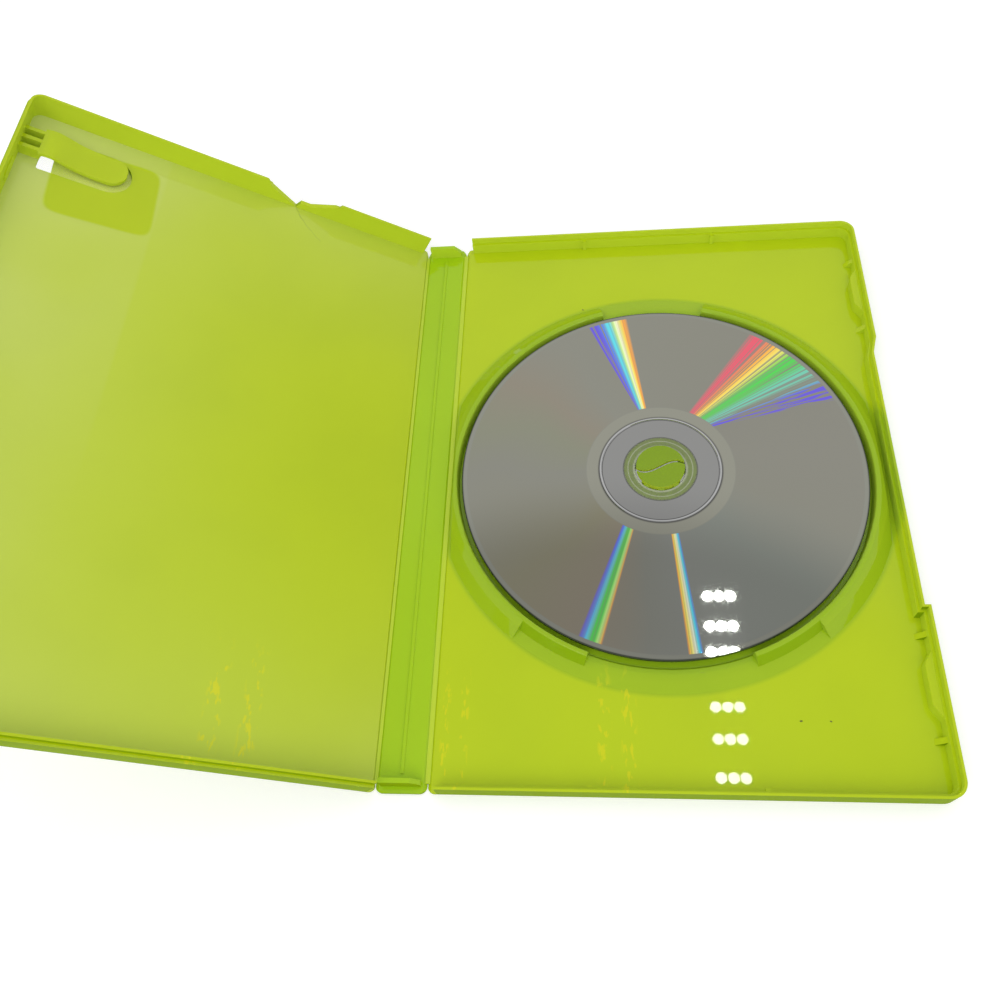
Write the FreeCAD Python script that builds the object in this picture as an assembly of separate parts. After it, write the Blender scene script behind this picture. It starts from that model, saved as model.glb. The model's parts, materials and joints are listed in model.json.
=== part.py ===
import FreeCAD, Part
import math
import os

# Game disc case, lying open: a tray half with a disc on its hub, a flat spine and a raised front cover.
# Millimetres. Origin on the hub axis at the surface that the case lies on. +X runs from the spine towards
# the opening edge of the tray, +Y up the height of the case, +Z up.

V = FreeCAD.Vector

# Overall sizes of the moulding
case_height = 190.0
panel_width = 133.0
spine_width = 14.0
panel_t = 1.0
wall_t = 1.5
corner_r = 4.5
edge_r = 0.5
least_r = 0.4
hub_from_fold = 64.3
cover_angle = 31.6

# How far a cutting body runs past what it cuts, and the corner radius of a round end as a share of its width
overshoot = 1.0
round_end = 0.49

# Folds: mitred edges meet over the fold line with a thin gap
fold_gap = 0.1
fold_corner_r = 2.2
wall_start = 2.6

# Rim: a lip on the cover nests in a rebate of the tray when the case is shut, but not along the thumb notch
rim_gap = 0.2
lip_height = 1.8
lip_t = 0.65
lip_clearance = 0.15
lip_end_gap = 1.0

# Thumb notch in the tray's opening wall
notch_depth = 1.6
notch_top = 42.0
notch_bottom = -45.0
notch_slope = 6.0

# Disc and its seat
disc_r = 60.0
disc_hole_r = 7.5
disc_t = 1.2
disc_edge = 0.12
stack_ring_r = 17.9
stack_ring_w = 0.7
stack_ring_h = 0.2
seat_height = 3.15
seat_r = 17.0
seat_foot = 4.0

# Cradle: a raised ring round the disc, with a finger scoop at the top and at the bottom
cradle_clearance = 1.1
cradle_height = 4.8
cradle_draft = 0.5
cradle_crest = 1.3
cradle_skirt = 5.2
crest_r = 0.5
shoulder_skirt = 2.0
shelf_rise = 0.6
scoop_rise = 0.9
cradle_side = 1.9
bottom_scoop = 21.0
bottom_shoulder = 39.5
top_scoop = 15.0
hollow_top_t = 1.2
hollow_skirt_t = 2.3
hollow_flat = 0.9

# Hub: two sprung halves with an S-shaped slot between them
hub_clearance = 0.3
hub_skirt_t = 1.0
hub_top_t = 1.0
hub_rise = 1.4
hub_skirt_drop = 0.7
hub_slot = 0.9
hub_wave = 1.6
hub_skirt_half_angle = 52.0
tooth_reach = 0.5
tooth_h = 0.6
tooth_lift = 0.2
tooth_half_angle = 7.0
tooth_pitch = 36.0

# Wall details
rib_w = 1.2
rib_depth = 0.7
rib_offset = 22.0
catch_length = 18.0
catch_height = 3.6
catch_depth = 2.2
catch_taper = 3.5
catch_offset = 66.0
gusset_pitch = 14.0
gusset_w = 1.6
gusset_reach = 2.4
gusset_height = 2.6
snap_length = 9.0
snap_height = 3.4
snap_depth = 0.35

# Spine details
spine_wall_t = 1.3
spine_wall_height = 5.4
spine_wall_inset = 1.6
spine_wall_chamfer = 2.3
spine_wall_clearance = 0.25
spine_rib_w = 1.0
spine_rib_h = 0.4
spine_rib_r = 0.2
spine_rib_margin = 5.0

# Booklet clips of the cover
clip_offset = 80.0
clip_width = 10.3
clip_length = 24.6
clip_t = 1.1
clip_crest_at = 3.2
clip_slope_at = 8.9
clip_low_at = 15.3
clip_root_gap = 5.5
clip_root_height = 4.4
clip_crest = 0.5
clip_low_height = 2.3
clip_tip_lift = 0.6
clip_rib_w = 1.3
clip_rib_pitch = 3.6
window_margin = 2.05
window_shift = 0.7
window_past_tip = 1.5
window_corner_r = 1.0

# Broken stretch of the cover's top wall, from the fold
break_end = 35.2
break_ledge = 36.2
break_tear = 45.0
break_lip = 48.3
break_pinch = 49.5
break_shoulder = 58.5
break_start = 60.5
break_ledge_drop = 1.4
break_shoulder_drop = 2.5
break_stub = 2.4

# Clear film sleeve on the outside
film_t = 0.15
film_margin = 1.2

# Derived values
half_depth = (spine_width - rim_gap) / 2.0
half_height = case_height / 2.0
lip_inset = wall_t - lip_t
rebate_inset = lip_inset - lip_clearance
rebate_low = half_depth - lip_height - rim_gap
rim_top = half_depth + lip_height
cradle_in_r = disc_r + cradle_clearance
disc_z = film_t + seat_height
hub_r = disc_hole_r - hub_clearance
hub_bore_r = disc_hole_r
hub_top_h = seat_height + disc_t + hub_rise
cover_x = -hub_from_fold - spine_width


def rounded_wire(points):
    """Closed outline in the XY plane from (x, y, corner radius) points."""
    count = len(points)
    starts, ends, arcs = [], [], []
    for i, (x, y, r) in enumerate(points):
        here = V(x, y, 0)
        back = V(points[i - 1][0], points[i - 1][1], 0) - here
        ahead = V(points[(i + 1) % count][0], points[(i + 1) % count][1], 0) - here
        back.normalize()
        ahead.normalize()
        half = back.getAngle(ahead) / 2.0
        reach = r / math.tan(half)
        first = here + back * reach
        last = here + ahead * reach
        starts.append(first)
        ends.append(last)
        if r > 0:
            inward = back + ahead
            inward.normalize()
            middle = here + inward * (r / math.sin(half) - r)
            arcs.append(Part.Arc(first, middle, last).toShape())
        else:
            arcs.append(None)
    edges = []
    for i in range(count):
        if arcs[i] is not None:
            edges.append(arcs[i])
        following = starts[(i + 1) % count]
        if ends[i].distanceToPoint(following) > 1e-6:
            edges.append(Part.makeLine(ends[i], following))
    return Part.Wire(edges)


def prism(points, low, high):
    """Upright prism of a rounded outline between two heights."""
    face = Part.Face(rounded_wire(points))
    face.translate(V(0, 0, low))
    return face.extrude(V(0, 0, high - low))


def along_y(points, y_from, y_to):
    """Profile of (x, z, corner radius) points, drawn square to Y and run along it."""
    body = prism([(x, z, r) for x, z, r in points], 0, y_to - y_from)
    body.rotate(V(0, 0, 0), V(1, 0, 0), 90)
    body.translate(V(0, y_to, 0))
    return body


def turned(points, start_deg, sweep_deg):
    """Profile of (radius, z, corner radius) points, turned about Z from a start angle."""
    face = Part.Face(rounded_wire(points))
    face.rotate(V(0, 0, 0), V(1, 0, 0), 90)
    face.rotate(V(0, 0, 0), V(0, 0, 1), start_deg)
    return face.revolve(V(0, 0, 0), V(0, 0, 1), sweep_deg)


def half_outline(inset, start, fold_r, notched):
    """Plan of one half, measured from its fold, drawn in by an inset on the three walled sides."""
    side = half_height - inset
    edge = panel_width - inset
    round_out = max(corner_r - inset, least_r)
    points = [(start, -side, fold_r), (edge, -side, round_out)]
    if notched:
        points.append((edge, notch_bottom - inset, 0))
        points.append((edge - notch_depth, notch_bottom - inset, 0))
        points.append((edge - notch_depth, notch_top - notch_slope / 2.0, 0))
        points.append((edge, notch_top + notch_slope / 2.0, 0))
    points.append((edge, side, round_out))
    points.append((start, side, fold_r))
    return points


def wall_ring(outer_inset, inner_inset, low, high, notched):
    """Band along the two ends and the opening side between two insets."""
    band = prism(half_outline(outer_inset, wall_start, 0, notched), low, high)
    inside = prism(half_outline(inner_inset, wall_start - wall_t, 0, notched), low - panel_t, high + panel_t)
    return band.cut(inside)


def outer_bottom_edges(shape):
    """Edges of the flat outer face on the three walled sides."""
    found = []
    for edge in shape.Edges:
        box = edge.BoundBox
        if box.ZMax < 1e-6 and box.XMax > 0:
            found.append(edge)
    return found


def half_shell(notched):
    """Panel with a mitred fold edge and walls on its other three sides."""
    panel = prism(half_outline(0, -wall_start, 0, notched), 0, panel_t)
    shell = panel.fuse(wall_ring(0, wall_t, 0, half_depth, notched)).removeSplitter()
    shell = shell.makeFillet(edge_r, outer_bottom_edges(shell))
    shell = shell.common(prism(half_outline(0, 0, fold_corner_r, notched), 0, half_depth))
    over = panel_t + wall_start
    mitre = [(-over, -over, 0), (fold_gap - over, -over, 0), (fold_gap + panel_t, panel_t, 0),
             (fold_gap + panel_t, over, 0), (-over, over, 0)]
    return shell.cut(along_y(mitre, -case_height, case_height))


def cradle_profile(foot_height, crest_height):
    """Section of the disc cradle: draughted inner side, round crest, sloping skirt with a bend in it."""
    inner = cradle_in_r
    crest = inner + cradle_draft + cradle_crest
    base = crest + cradle_skirt
    return [(inner, 0, 0), (base, 0, 0), (base, panel_t, 0), (crest + shoulder_skirt, foot_height, 0),
            (crest, crest_height, crest_r), (inner + cradle_draft, crest_height, crest_r), (inner, panel_t, 0)]


def cradle_hollow():
    """Section of the groove under the cradle, which keeps the wall even."""
    inner = cradle_in_r + panel_t
    top = cradle_height - hollow_top_t
    outer = cradle_in_r + cradle_draft + cradle_crest + cradle_skirt - hollow_skirt_t
    return [(inner, 0, 0), (outer, 0, 0), (inner + hollow_flat, top, 0), (inner, top, 0)]


def add_cradle(tray):
    """Raised ring round the disc, lower at the finger scoops and cut straight beside fold and wall."""
    bottom, top = 270.0, 450.0
    shelf = panel_t + shelf_rise
    slope = cradle_height - (cradle_height - panel_t) * shoulder_skirt / cradle_skirt
    low = cradle_profile(shelf, panel_t + scoop_rise)
    narrow = cradle_profile(shelf, cradle_height)
    full = cradle_profile(slope + shelf_rise / 2.0, cradle_height)
    shoulder = bottom_shoulder - bottom_scoop
    spans = [
        (bottom - bottom_scoop, 2 * bottom_scoop, low),
        (top - top_scoop, 2 * top_scoop, low),
        (bottom - bottom_shoulder, shoulder, narrow),
        (bottom + bottom_scoop, shoulder, narrow),
    ]
    hollow = cradle_hollow()
    reach = 180.0 - bottom_shoulder - top_scoop
    end_wall = math.degrees(panel_t / cradle_in_r)
    rooms = []
    for start in (bottom + bottom_shoulder, top + top_scoop):
        spans.append((start, reach, full))
        rooms.append(turned(hollow, start + end_wall, reach - 2 * end_wall))
    ring = turned(spans[0][2], spans[0][0], spans[0][1])
    ring = ring.multiFuse([turned(profile, start, sweep) for start, sweep, profile in spans[1:]])
    left = cradle_side - hub_from_fold
    right = panel_width - wall_t - notch_depth - cradle_side - hub_from_fold
    ring = ring.common(Part.makeBox(right - left, 2 * case_height, half_depth, V(left, -case_height, 0)))
    keep = Part.makeBox(right - left - 2 * panel_t, 2 * case_height, 2 * half_depth,
                        V(left + panel_t, -case_height, -half_depth))
    ring.translate(V(hub_from_fold, 0, 0))
    tray = tray.fuse(ring)
    for room in rooms:
        room = room.common(keep)
        room.translate(V(hub_from_fold, 0, 0))
        tray = tray.cut(room)
    return tray


def add_disc_seat(tray):
    """Hollow raised seat for the middle of the disc, with a bore for the hub."""
    seat = turned([(hub_bore_r, 0, 0), (seat_r + seat_foot, 0, 0), (seat_r + seat_foot, panel_t, 0),
                   (seat_r, seat_height, 0), (hub_bore_r, seat_height, 0)], 0, 360)
    room = turned([(hub_bore_r + panel_t, 0, 0), (seat_r + seat_foot - 2.0 * panel_t, 0, 0),
                   (seat_r - panel_t / 2.0, seat_height - panel_t, 0),
                   (hub_bore_r + panel_t, seat_height - panel_t, 0)], 0, 360)
    bore = Part.makeCylinder(hub_bore_r, 2 * half_depth, V(0, 0, -half_depth))
    for body in (seat, room, bore):
        body.translate(V(hub_from_fold, 0, 0))
    return tray.fuse(seat).cut(room).cut(bore)


def oval_pad(length, height, depth):
    """Rounded pad standing on the inner face of the opening wall, centred on its own middle."""
    r = round_end * min(length, height)
    pad = prism([(-height / 2.0, -length / 2.0, r), (height / 2.0, -length / 2.0, r),
                 (height / 2.0, length / 2.0, r), (-height / 2.0, length / 2.0, r)], 0, depth)
    pad.rotate(V(0, 0, 0), V(0, 1, 0), -90)
    return pad


def add_ribs(tray):
    """Stiffening ribs on the inner faces of the two end walls."""
    inner_side = half_height - wall_t
    for offset in (-rib_offset, rib_offset):
        for low in (-inner_side, inner_side - rib_depth):
            rib = Part.makeBox(rib_w, rib_depth, rebate_low - panel_t,
                               V(hub_from_fold + offset - rib_w / 2.0, low, panel_t))
            tray = tray.fuse(rib)
    return tray


def add_catches(tray):
    """Bulged snap catches at the foot of the opening wall, each between two gussets."""
    face = panel_width - wall_t
    inside = face - catch_depth
    half = catch_length / 2.0
    for side in (-1, 1):
        centre = side * catch_offset
        bulge = prism([(face, centre - half, 0), (face, centre + half, 0),
                       (inside, centre + half - catch_taper, catch_depth),
                       (inside, centre - half + catch_taper, catch_depth)], panel_t, panel_t + catch_height)
        tray = tray.fuse(bulge)
        for end in (-1, 1):
            low = centre + end * gusset_pitch - gusset_w / 2.0
            section = [(face - gusset_reach, panel_t, 0), (face, panel_t, 0),
                       (face, panel_t + gusset_height, 0)]
            tray = tray.fuse(along_y(section, low, low + gusset_w))
    return tray


def add_snaps(cover):
    """Low oval snap pads on the inner face of the cover's opening wall."""
    for side in (-1, 1):
        pad = oval_pad(snap_length, snap_height, snap_depth)
        pad.translate(V(panel_width - wall_t, side * catch_offset, (panel_t + half_depth) / 2.0))
        cover = cover.fuse(pad)
    return cover


def make_tray():
    """Back half: panel, walls with a rebated rim, thumb notch, disc cradle and disc seat in one moulding."""
    tray = half_shell(True)
    tray = tray.cut(wall_ring(rebate_inset, wall_t + panel_t, rebate_low, half_depth + panel_t, True))
    tray = add_cradle(tray)
    tray = add_disc_seat(tray)
    tray = add_catches(add_ribs(tray)).removeSplitter()
    tray.translate(V(-hub_from_fold, 0, film_t))
    return tray


def s_outline(side):
    """Half of the hub's round top, cut along an S through its middle."""
    gap = side * hub_slot / 2.0
    reach = hub_r + overshoot
    bend = hub_r / 2.0
    wave = [V(-reach, gap, 0), V(-bend, gap - hub_wave, 0), V(0, gap, 0), V(bend, gap + hub_wave, 0),
            V(reach, gap, 0)]
    curve = Part.BSplineCurve()
    curve.interpolate(wave)
    far = side * reach
    edges = [curve.toShape(), Part.makeLine(wave[-1], V(reach, far, 0)),
             Part.makeLine(V(reach, far, 0), V(-reach, far, 0)), Part.makeLine(V(-reach, far, 0), wave[0])]
    return Part.Face(Part.Wire(edges))


def make_hub_half(side):
    """One sprung half of the hub: S-edged top, a skirt down to its root and teeth over the disc."""
    middle = 90.0 * side
    top = Part.makeCylinder(hub_r, hub_top_t, V(0, 0, hub_top_h - hub_top_t))
    cut = s_outline(side)
    cut.translate(V(0, 0, hub_top_h - hub_top_t - overshoot))
    half = top.common(cut.extrude(V(0, 0, hub_top_t + 2.0 * overshoot)))
    skirt_low = seat_height - hub_skirt_drop
    skirt_high = hub_top_h - hub_top_t / 2.0
    skirt = turned([(hub_r - hub_skirt_t, skirt_low, 0), (hub_r, skirt_low, 0), (hub_r, skirt_high, 0),
                    (hub_r - hub_skirt_t, skirt_high, 0)],
                   middle - hub_skirt_half_angle, 2 * hub_skirt_half_angle)
    half = half.fuse(skirt)
    tooth_z = seat_height + disc_t + tooth_lift
    tooth = [(hub_r - hub_skirt_t / 2.0, tooth_z, 0), (hub_r + tooth_reach, tooth_z, 0),
             (hub_r, tooth_z + tooth_h, 0), (hub_r - hub_skirt_t / 2.0, tooth_z + tooth_h, 0)]
    for step in (-1, 0, 1):
        start = middle + step * tooth_pitch - tooth_half_angle
        half = half.fuse(turned(tooth, start, 2 * tooth_half_angle))
    half = half.removeSplitter()
    half.translate(V(0, 0, film_t))
    return half


def make_disc():
    """Plain disc with a centre hole, broken edges and a raised stacking ring."""
    low, high = stack_ring_r - stack_ring_w / 2.0, stack_ring_r + stack_ring_w / 2.0
    slope = stack_ring_h / 2.0
    profile = [(disc_hole_r + disc_edge, 0, 0), (disc_r - disc_edge, 0, 0), (disc_r, disc_edge, 0),
               (disc_r, disc_t - disc_edge, 0), (disc_r - disc_edge, disc_t, 0), (high, disc_t, 0),
               (high - slope, disc_t + stack_ring_h, 0), (low + slope, disc_t + stack_ring_h, 0),
               (low, disc_t, 0), (disc_hole_r + disc_edge, disc_t, 0), (disc_hole_r, disc_t - disc_edge, 0),
               (disc_hole_r, disc_edge, 0)]
    disc = turned(profile, 0, 360)
    disc.translate(V(0, 0, disc_z))
    return disc


def make_spine():
    """Flat spine with mitred long edges, a middle rib and end walls that tuck inside the two halves."""
    low, high = fold_gap, spine_width - fold_gap
    plan = prism([(0, -half_height, fold_corner_r), (spine_width, -half_height, fold_corner_r),
                  (spine_width, half_height, fold_corner_r), (0, half_height, fold_corner_r)], 0, panel_t)
    section = [(low, 0, 0), (high, 0, 0), (high - panel_t, panel_t, 0), (low + panel_t, panel_t, 0)]
    spine = plan.common(along_y(section, -case_height, case_height))
    rib_end = half_height - spine_rib_margin
    rib = [(spine_width / 2.0 - spine_rib_w / 2.0, panel_t / 2.0, 0),
           (spine_width / 2.0 + spine_rib_w / 2.0, panel_t / 2.0, 0),
           (spine_width / 2.0 + spine_rib_w / 2.0, panel_t + spine_rib_h, spine_rib_r),
           (spine_width / 2.0 - spine_rib_w / 2.0, panel_t + spine_rib_h, spine_rib_r)]
    spine = spine.fuse(along_y(rib, -rib_end, rib_end))
    inset = spine_wall_inset
    wall = [(inset, panel_t / 2.0, 0), (spine_width - inset, panel_t / 2.0, 0),
            (spine_width - inset, spine_wall_height - spine_wall_chamfer, 0),
            (spine_width - inset - spine_wall_chamfer, spine_wall_height, 0), (inset, spine_wall_height, 0)]
    outer = half_height - wall_t - spine_wall_clearance
    for y_from in (-outer, outer - spine_wall_t):
        spine = spine.fuse(along_y(wall, y_from, y_from + spine_wall_t))
    spine = spine.removeSplitter()
    spine.translate(V(cover_x, 0, film_t))
    return spine


def clip_window(side):
    """Opening through the panel under one clip, square at the root and round past the tip."""
    centre = side * (clip_offset - window_shift)
    root = panel_width - wall_t - clip_root_gap
    tip = root - clip_length - window_past_tip
    half = clip_width / 2.0 + window_margin
    far_r = round_end * 2.0 * half
    return prism([(tip, centre - half, far_r), (root, centre - half, window_corner_r),
                  (root, centre + half, window_corner_r), (tip, centre + half, far_r)],
                 -overshoot, panel_t + overshoot)


def make_clip(side):
    """Springy booklet tongue: high root on short ribs, a wave down to the panel and a lifted round tip."""
    centre = side * clip_offset
    root = panel_width - wall_t - clip_root_gap
    tip = root - clip_length
    middle = (clip_root_height + clip_low_height) / 2.0
    wave = [V(root, 0, clip_root_height), V(root - clip_crest_at, 0, clip_root_height + clip_crest),
            V(root - clip_slope_at, 0, middle), V(root - clip_low_at, 0, clip_low_height),
            V(tip, 0, clip_low_height + clip_tip_lift)]
    upper = Part.BSplineCurve()
    upper.interpolate(wave)
    lower = upper.copy()
    lower.translate(V(0, 0, -clip_t))
    last = len(wave) - 1
    drop = V(0, 0, -clip_t)
    edges = [upper.toShape(), Part.makeLine(wave[last], wave[last] + drop), lower.toShape(),
             Part.makeLine(wave[0] + drop, wave[0])]
    face = Part.Face(Part.Wire(Part.__sortEdges__(edges)))
    tongue = face.extrude(V(0, clip_width, 0))
    tongue.translate(V(0, centre - clip_width / 2.0, 0))
    half = clip_width / 2.0
    tip_r = half - clip_t / 2.0
    inner = root + clip_t
    plan = prism([(tip, centre - half, tip_r), (inner, centre - half, 0), (inner, centre + half, 0),
                  (tip, centre + half, tip_r)], 0, half_depth)
    clip = tongue.common(plan)
    rib_low = clip_root_height - clip_t
    into_wall = panel_width - wall_t / 2.0
    for step in (-1, 0, 1):
        rib = [(root - clip_t, rib_low, 0), (root, panel_t / 2.0, 0), (into_wall, panel_t / 2.0, 0),
               (into_wall, clip_root_height, 0), (root - clip_t, clip_root_height, 0)]
        y_from = centre + step * clip_rib_pitch - clip_rib_w / 2.0
        clip = clip.fuse(along_y(rib, y_from, y_from + clip_rib_w))
    return clip


def broken_edge():
    """What is missing from the top wall: a steep start, a slope to a pinch and a low torn ledge."""
    over = rim_top + overshoot
    points = [(break_end, rim_top, 0), (break_ledge, rim_top - break_ledge_drop, 0),
              (break_tear, panel_t + break_stub, 0), (break_lip, panel_t + break_stub, 0),
              (break_pinch, panel_t, 0), (break_shoulder, rim_top - break_shoulder_drop, 0),
              (break_start, rim_top, 0), (break_start, over, 0), (break_end, over, 0)]
    depth = 2.0 * wall_t
    return along_y(points, half_height - depth, half_height + depth)


def make_front_cover():
    """Front half: panel, walls with a rim lip, two booklet clips over windows and the broken wall."""
    cover = half_shell(False)
    lip = wall_ring(lip_inset, wall_t, panel_t, rim_top, False)
    gap_from = notch_bottom - wall_t - lip_end_gap
    gap_to = notch_top + notch_slope / 2.0 + lip_end_gap
    thumb = Part.makeBox(2.0 * wall_t, gap_to - gap_from, half_depth,
                         V(panel_width - 2.0 * wall_t, gap_from, half_depth))
    cover = cover.fuse(lip.cut(thumb))
    cover = add_snaps(cover)
    for side in (-1, 1):
        cover = cover.cut(clip_window(side)).fuse(make_clip(side))
    cover = cover.cut(broken_edge()).removeSplitter()
    return to_cover(cover)


def to_cover(shape):
    """Mirrors a half to the cover's side of the spine and raises it to its rest angle."""
    shape = shape.mirror(V(0, 0, 0), V(1, 0, 0))
    shape.translate(V(cover_x, 0, film_t))
    shape.rotate(V(cover_x, 0, film_t), V(0, 1, 0), cover_angle)
    return shape


def panel_film():
    """Clear film over the outer face of one half, in that half's own measure."""
    side = half_height - film_margin
    edge = panel_width - notch_depth - film_margin
    return prism([(fold_gap, -side, 0), (edge, -side, corner_r), (edge, side, corner_r), (fold_gap, side, 0)],
                 -film_t, 0)


def make_sleeve_back():
    """Film under the tray."""
    film = panel_film()
    film.translate(V(-hub_from_fold, 0, film_t))
    return film


def make_sleeve_front():
    """Film over the outside of the cover."""
    return to_cover(panel_film())


def make_sleeve_spine():
    """Film under the spine."""
    side = half_height - film_margin
    return Part.makeBox(spine_width - 2 * fold_gap, 2 * side, film_t, V(cover_x + fold_gap, -side, 0))


os.makedirs("parts", exist_ok=True)
nodes = {
    "tray": make_tray(),
    "hub_half_top": make_hub_half(1),
    "hub_half_bottom": make_hub_half(-1),
    "disc": make_disc(),
    "spine": make_spine(),
    "front_cover": make_front_cover(),
    "sleeve_back": make_sleeve_back(),
    "sleeve_spine": make_sleeve_spine(),
    "sleeve_front": make_sleeve_front(),
}
for name, shape in nodes.items():
    shape.exportStep("parts/" + name + ".step")
    print(name, len(shape.Solids), shape.isValid(), round(shape.Volume, 1))
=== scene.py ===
"""Looks of an open game disc case: moulding, disc, clear sleeve, fold webs, wear and a studio stage."""

import json
import math

import bmesh
import bpy
import numpy as np
from mathutils import Matrix, Vector


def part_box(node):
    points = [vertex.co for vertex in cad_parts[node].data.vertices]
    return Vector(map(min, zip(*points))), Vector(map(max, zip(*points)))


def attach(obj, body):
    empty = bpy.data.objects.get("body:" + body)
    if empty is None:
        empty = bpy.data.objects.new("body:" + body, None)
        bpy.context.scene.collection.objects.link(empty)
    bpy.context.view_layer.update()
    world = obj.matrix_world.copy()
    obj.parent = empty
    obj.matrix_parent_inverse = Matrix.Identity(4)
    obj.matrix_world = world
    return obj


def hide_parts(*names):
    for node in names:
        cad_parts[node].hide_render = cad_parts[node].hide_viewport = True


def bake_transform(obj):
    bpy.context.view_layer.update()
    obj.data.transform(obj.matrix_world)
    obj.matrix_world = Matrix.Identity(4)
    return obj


bl_info = {
    "name": "Open disc case",
    "version": (1, 0, 0),
    "blender": (4, 5, 0),
    "location": "3D View > Sidebar > Disc case",
    "description": "Dresses an open disc case: moulding, disc, sleeve, fold webs, wear and stage",
    "category": "Object",
}

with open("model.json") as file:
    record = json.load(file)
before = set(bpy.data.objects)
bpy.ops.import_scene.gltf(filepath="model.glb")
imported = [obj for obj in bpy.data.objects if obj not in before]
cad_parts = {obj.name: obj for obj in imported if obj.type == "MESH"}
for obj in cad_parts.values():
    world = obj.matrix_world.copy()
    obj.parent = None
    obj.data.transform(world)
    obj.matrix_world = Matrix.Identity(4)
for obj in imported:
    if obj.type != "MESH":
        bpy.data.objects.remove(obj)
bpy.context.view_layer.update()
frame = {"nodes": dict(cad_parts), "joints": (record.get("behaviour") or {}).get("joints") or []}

MM = 0.001
JOINTS = {joint["name"]: joint for joint in frame["joints"]}
TRAY_FOLD = Vector(JOINTS["tray_fold"]["pos_m"])
COVER_FOLD = Vector(JOINTS["cover_fold"]["pos_m"])
COVER_ANGLE = math.radians(-JOINTS["cover_fold"]["range_deg"][0])
TRAY_LOW, TRAY_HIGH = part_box("tray")
DISC_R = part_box("disc")[1].x
COVER_ALONG = (-math.cos(COVER_ANGLE), 0.0, math.sin(COVER_ANGLE))
COVER_OUT = (math.sin(COVER_ANGLE), 0.0, math.cos(COVER_ANGLE))
COVER_START = COVER_FOLD.dot(Vector(COVER_ALONG))
COVER_REACH = 135.0 * MM
PANEL_T = 1.0 * MM
MITRE = math.radians(45.0)
LABEL_POWER = 8.0

PLASTIC_IOR = 1.15
PLASTIC_CLEARNESS = 0.2
COAT_ROUGHNESS = 0.012


class MouldingFinish(bpy.types.PropertyGroup):
    """Colours of the green moulding, and the reach of its fold webs"""
    tray_green: bpy.props.FloatVectorProperty(
        name="Tray green", description="Body colour of the tray", subtype="COLOR",
        default=(0.57, 0.72, 0.004))
    cover_green: bpy.props.FloatVectorProperty(
        name="Cover green", description="Body colour of the front cover", subtype="COLOR",
        default=(0.56, 0.70, 0.006))
    spine_green: bpy.props.FloatVectorProperty(
        name="Spine green", description="Body colour of the spine", subtype="COLOR",
        default=(0.44, 0.69, 0.004))
    # Painted shade: the hub halves are given a darker green than the tray's plastic, for the shade they sit
    # in inside the disc's hole
    hub_shade_green: bpy.props.FloatVectorProperty(
        name="Hub green", description="Body colour of the two hub halves", subtype="COLOR",
        default=(0.25, 0.40, 0.004))
    # Painted shade: outer walls are given this darker green for the shade on them and for the plastic seen
    # along its edge; the same colour also carries the random drift of tone
    drift_and_wall_shade_green: bpy.props.FloatVectorProperty(
        name="Deep green", subtype="COLOR", default=(0.29, 0.43, 0.004),
        description="Colour of the outer walls, where the plastic is seen along its edge")
    # Painted shade: darker green put in the hollow cradle round the disc, darkest next to the disc
    cradle_shade_green: bpy.props.FloatVectorProperty(
        name="Hollow green", description="Colour of the hollow cradle round the disc", subtype="COLOR",
        default=(0.27, 0.50, 0.010))
    # Painted light: the inner faces of the walls are given this paler green, as if lit through the plastic
    inner_wall_lit_green: bpy.props.FloatVectorProperty(
        name="Thin green", description="Colour of the walls' inner faces, which light comes through",
        subtype="COLOR", default=(0.74, 0.90, 0.03))
    haze_green: bpy.props.FloatVectorProperty(
        name="Haze green", description="Milky colour where light comes up through the plastic",
        subtype="COLOR", default=(0.70, 0.77, 0.28))
    # Painted reflection: yellow glints of the sleeve's creases, seen through the plastic
    crease_glint_yellow: bpy.props.FloatVectorProperty(
        name="Crease yellow", description="Colour of the sleeve's creases, seen through the plastic",
        subtype="COLOR", default=(0.86, 0.80, 0.01))
    web_green: bpy.props.FloatVectorProperty(
        name="Web green", description="Stretched plastic of the fold webs", subtype="COLOR",
        default=(0.62, 0.79, 0.04))
    web_reach: bpy.props.FloatProperty(
        name="Web reach", description="How far a fold web fills its groove from the fold line",
        default=0.95 * MM, unit="LENGTH")


class DiscFinish(bpy.types.PropertyGroup):
    """Rings and colours of the disc's data side"""
    clear_r: bpy.props.FloatProperty(
        name="Clear radius", description="Radius where the metal layer starts", default=11.0 * MM,
        unit="LENGTH")
    ring_r: bpy.props.FloatProperty(
        name="Stacking ring radius", description="Middle radius of the stacking ring", default=17.9 * MM,
        unit="LENGTH")
    band_r: bpy.props.FloatProperty(
        name="Band radius", description="Outer radius of the bare mirror band", default=22.0 * MM,
        unit="LENGTH")
    data_r: bpy.props.FloatProperty(
        name="Data radius", description="Outer radius of the data area", default=58.5 * MM, unit="LENGTH")
    mirror_grey: bpy.props.FloatVectorProperty(
        name="Mirror grey", description="Colour of the data area", subtype="COLOR",
        default=(0.262, 0.266, 0.228))
    band_grey: bpy.props.FloatVectorProperty(
        name="Band grey", description="Colour of the bare mirror band", subtype="COLOR",
        default=(0.30, 0.30, 0.25))


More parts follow.
